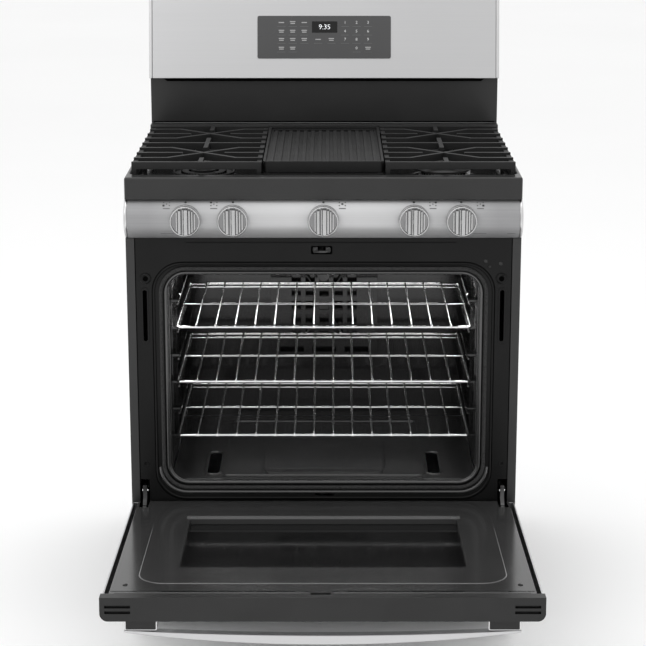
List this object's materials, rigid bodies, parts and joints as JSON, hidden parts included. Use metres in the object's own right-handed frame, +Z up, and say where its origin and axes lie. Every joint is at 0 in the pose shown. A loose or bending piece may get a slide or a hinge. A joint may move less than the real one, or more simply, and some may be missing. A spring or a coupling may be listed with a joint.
{
  "type": "gas range",
  "caption": "Freestanding kitchen gas range with an open oven door, wire racks, grates, a griddle, control knobs, a drawer and a leaning backguard.",
  "frame": {"origin": "centre of the footprint at floor level, oven door open", "axes": "+X to the right seen from the front, +Y to the wall, +Z up"},
  "size_m": [0.759, 1.2028, 1.2],
  "materials": {
    "stainless": "satin brushed",
    "enamel": "glossy dark grey enamel",
    "cooktop": "semi-gloss dark grey enamel",
    "cavity": "black speckled enamel",
    "iron": "matte enamelled cast iron",
    "chrome": "polished plate",
    "aluminium": "die cast",
    "galvanised": "dull zinc coated sheet",
    "painted": "baked paint",
    "trim": "dark satin trim",
    "glass": "black tinted",
    "keypad": "grey glass-faced touch panel",
    "rope": "woven black rope seal",
    "plastic": "moulded"
  },
  "bodies": {
    "range_body": {"side_panel_left": "painted", "side_panel_right": "painted", "foot_front_left": "plastic", "foot_rear_left": "plastic", "foot_front_right": "plastic", "foot_rear_right": "plastic", "rear_panel": "galvanised", "front_frame": "enamel", "door_gasket": "rope", "hinge_arm_left": "aluminium", "hinge_arm_right": "aluminium", "oven_wall_left": "cavity", "oven_wall_right": "cavity", "oven_roof": "cavity", "oven_floor": "cavity", "oven_back": "cavity", "fan_cover": "cavity", "broil_burner": "galvanised", "gas_manifold": "galvanised", "cooktop": "cooktop", "burner_left_front": "iron", "burner_right_front": "aluminium", "burner_left_rear": "aluminium", "burner_right_rear": "aluminium", "burner_centre": "aluminium", "control_panel": "stainless", "backsplash": "enamel", "guard_panel": "stainless", "keypad": "keypad"},
    "door": {"door_inner_panel": "enamel", "door_window_pane": "glass", "door_outer_skin": "stainless", "door_top_cap": "trim", "door_handle": "stainless"},
    "drawer": {"drawer_front": "stainless", "drawer_tray": "galvanised"},
    "latch": {"latch_hook": "chrome"},
    "fan_rotor": {"fan": "aluminium"},
    "lower_rack": {"rack_lower": "chrome"},
    "middle_rack": {"rack_middle": "chrome"},
    "upper_rack": {"rack_upper": "chrome"},
    "left_grate": {"grate_left": "iron"},
    "right_grate": {"grate_right": "iron"},
    "centre_grate": {"grate_centre": "iron"},
    "griddle_plate": {"griddle": "iron"},
    "stem_left_front": {"valve_stem_left_front": "aluminium"},
    "dial_left_front": {"knob_left_front": "stainless"},
    "burner_cap_left_front": {"cap_left_front": "iron"},
    "stem_left_rear": {"valve_stem_left_rear": "aluminium"},
    "dial_left_rear": {"knob_left_rear": "stainless"},
    "burner_cap_left_rear": {"cap_left_rear": "iron"},
    "stem_centre": {"valve_stem_centre": "aluminium"},
    "dial_centre": {"knob_centre": "stainless"},
    "burner_cap_centre": {"cap_centre": "iron"},
    "stem_right_rear": {"valve_stem_right_rear": "aluminium"},
    "dial_right_rear": {"knob_right_rear": "stainless"},
    "burner_cap_right_rear": {"cap_right_rear": "iron"},
    "stem_right_front": {"valve_stem_right_front": "aluminium"},
    "dial_right_front": {"knob_right_front": "stainless"},
    "burner_cap_right_front": {"cap_right_front": "iron"}
  },
  "joints": [
    {"name": "door_hinge", "type": "hinge", "parent": "range_body", "child": "door", "pos_m": [0, -0.05958, 0.258], "axis": [1, 0, 0], "range_deg": [-87.1, 0]},
    {"name": "drawer_slide", "type": "slide", "parent": "range_body", "child": "drawer", "axis": [0, -1, 0], "range_m": [0, 0.4]},
    {"name": "lower_rack_slide", "type": "slide", "parent": "range_body", "child": "lower_rack", "axis": [0, -1, 0], "range_m": [0, 0.25]},
    {"name": "middle_rack_slide", "type": "slide", "parent": "range_body", "child": "middle_rack", "axis": [0, -1, 0], "range_m": [0, 0.25]},
    {"name": "upper_rack_slide", "type": "slide", "parent": "range_body", "child": "upper_rack", "axis": [0, -1, 0], "range_m": [0, 0.25]},
    {"name": "latch_turn", "type": "hinge", "parent": "range_body", "child": "latch", "pos_m": [-0.0035, -0.01058, 0.776], "axis": [0, 0, 1], "range_deg": [0, 12]},
    {"name": "fan_spin", "type": "hinge", "parent": "range_body", "child": "fan_rotor", "pos_m": [0, 0.39142, 0.56], "axis": [0, 1, 0], "continuous": true},
    {"name": "left_grate_lift", "type": "slide", "parent": "range_body", "child": "left_grate", "axis": [0, 0, 1], "range_m": [0, 0.06]},
    {"name": "right_grate_lift", "type": "slide", "parent": "range_body", "child": "right_grate", "axis": [0, 0, 1], "range_m": [0, 0.06]},
    {"name": "centre_grate_lift", "type": "slide", "parent": "range_body", "child": "centre_grate", "axis": [0, 0, 1], "range_m": [0, 0.06]},
    {"name": "griddle_lift", "type": "slide", "parent": "centre_grate", "child": "griddle_plate", "axis": [0, 0, 1], "range_m": [0, 0.06]},
    {"name": "push_left_front", "type": "slide", "parent": "range_body", "child": "stem_left_front", "axis": [0, 1, 0], "range_m": [0, 0.003], "stiffness_N_per_m": 600},
    {"name": "turn_left_front", "type": "hinge", "parent": "stem_left_front", "child": "dial_left_front", "pos_m": [-0.262, -0.08858, 0.841], "axis": [0, -1, 0], "range_deg": [0, 240]},
    {"name": "cap_lift_left_front", "type": "slide", "parent": "range_body", "child": "burner_cap_left_front", "axis": [0, 0, 1], "range_m": [0, 0.008]},
    {"name": "push_left_rear", "type": "slide", "parent": "range_body", "child": "stem_left_rear", "axis": [0, 1, 0], "range_m": [0, 0.003], "stiffness_N_per_m": 600},
    {"name": "turn_left_rear", "type": "hinge", "parent": "stem_left_rear", "child": "dial_left_rear", "pos_m": [-0.172, -0.08858, 0.841], "axis": [0, -1, 0], "range_deg": [0, 240]},
    {"name": "cap_lift_left_rear", "type": "slide", "parent": "range_body", "child": "burner_cap_left_rear", "axis": [0, 0, 1], "range_m": [0, 0.008]},
    {"name": "push_centre", "type": "slide", "parent": "range_body", "child": "stem_centre", "axis": [0, 1, 0], "range_m": [0, 0.003], "stiffness_N_per_m": 600},
    {"name": "turn_centre", "type": "hinge", "parent": "stem_centre", "child": "dial_centre", "pos_m": [0, -0.08858, 0.841], "axis": [0, -1, 0], "range_deg": [0, 240]},
    {"name": "cap_lift_centre", "type": "slide", "parent": "range_body", "child": "burner_cap_centre", "axis": [0, 0, 1], "range_m": [0, 0.005]},
    {"name": "push_right_rear", "type": "slide", "parent": "range_body", "child": "stem_right_rear", "axis": [0, 1, 0], "range_m": [0, 0.003], "stiffness_N_per_m": 600},
    {"name": "turn_right_rear", "type": "hinge", "parent": "stem_right_rear", "child": "dial_right_rear", "pos_m": [0.172, -0.08858, 0.841], "axis": [0, -1, 0], "range_deg": [0, 240]},
    {"name": "cap_lift_right_rear", "type": "slide", "parent": "range_body", "child": "burner_cap_right_rear", "axis": [0, 0, 1], "range_m": [0, 0.008]},
    {"name": "push_right_front", "type": "slide", "parent": "range_body", "child": "stem_right_front", "axis": [0, 1, 0], "range_m": [0, 0.003], "stiffness_N_per_m": 600},
    {"name": "turn_right_front", "type": "hinge", "parent": "stem_right_front", "child": "dial_right_front", "pos_m": [0.262, -0.08858, 0.841], "axis": [0, -1, 0], "range_deg": [0, 240]},
    {"name": "cap_lift_right_front", "type": "slide", "parent": "range_body", "child": "burner_cap_right_front", "axis": [0, 0, 1], "range_m": [0, 0.008]}
  ]
}
